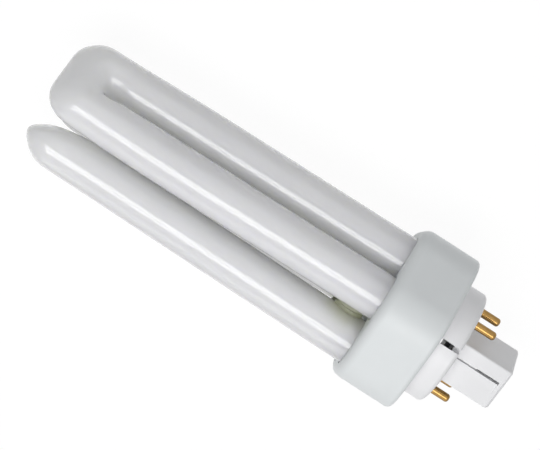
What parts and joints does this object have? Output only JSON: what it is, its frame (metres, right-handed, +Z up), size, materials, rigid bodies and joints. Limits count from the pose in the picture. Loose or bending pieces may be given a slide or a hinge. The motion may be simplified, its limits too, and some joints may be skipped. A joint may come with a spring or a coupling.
{
  "type": "compact fluorescent lamp",
  "caption": "Plug-in compact fluorescent lamp: fused U-bent glass tubes on a rounded hexagonal collar, with brass contact pins either side of a hollow keyed post.",
  "frame": {"origin": "on the surface that the lamp lies on, under the middle of its box", "axes": "+X along the lamp towards the tips of the tubes, +Z up from the surface; the lamp lies on the flat of one U-tube"},
  "size_m": [0.142, 0.0484, 0.0458],
  "materials": {
    "phosphor_glass": "clear glossy glass over an opaque white phosphor coat",
    "white_moulding": "satin white moulding",
    "cement": "dull cast cement",
    "brass": "turned and polished",
    "lead_wire": "drawn nickel-iron wire"
  },
  "bodies": {
    "root": {"discharge_tube": "phosphor_glass", "collar_housing": "white_moulding", "base_cap": "white_moulding", "tube_cement": "cement", "contact_pin_1": "brass", "contact_pin_2": "brass", "contact_pin_3": "brass", "contact_pin_4": "brass", "lead_wire_1": "lead_wire", "lead_wire_2": "lead_wire", "lead_wire_3": "lead_wire", "lead_wire_4": "lead_wire"}
  },
  "joints": []
}
